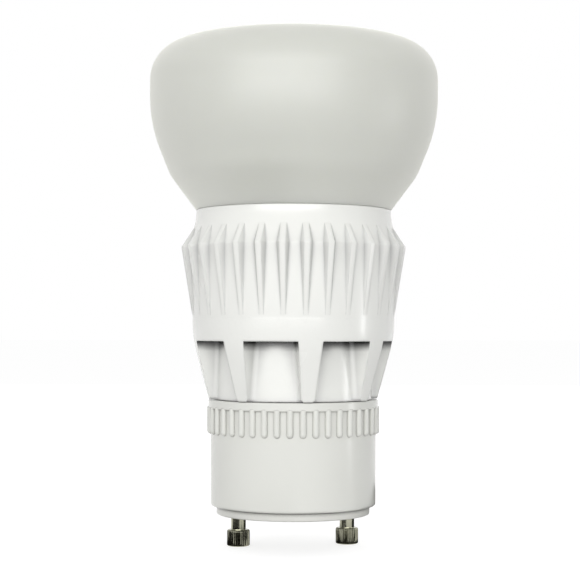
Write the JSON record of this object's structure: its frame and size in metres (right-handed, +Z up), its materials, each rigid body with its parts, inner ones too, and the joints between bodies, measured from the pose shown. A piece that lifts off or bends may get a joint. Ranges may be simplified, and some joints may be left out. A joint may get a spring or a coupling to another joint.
{
  "type": "led a-shape bulb",
  "caption": "White LED bulb with a frosted bowl-shaped globe, a finned cast heat sink with pockets below, and a ribbed plastic base carrying headed twist-lock pins.",
  "frame": {"origin": "middle of the base plate's lower face, midway between the contact pins", "axes": "+Z up the lamp's axis from the base to the globe, +X from the left pin to the right pin"},
  "size_m": [0.0626, 0.0626, 0.1101],
  "materials": {
    "frosted_globe": "frosted, satin",
    "sink_paint": "gloss white paint",
    "housing_plastic": "gloss white",
    "plate_plastic": "semi-gloss white",
    "pin_plating": "bright nickel plate"
  },
  "bodies": {
    "root": {"diffuser": "frosted_globe", "heat_sink": "sink_paint", "base_housing": "housing_plastic", "base_plate": "plate_plastic", "pin_left": "pin_plating", "pin_right": "pin_plating"}
  },
  "joints": []
}
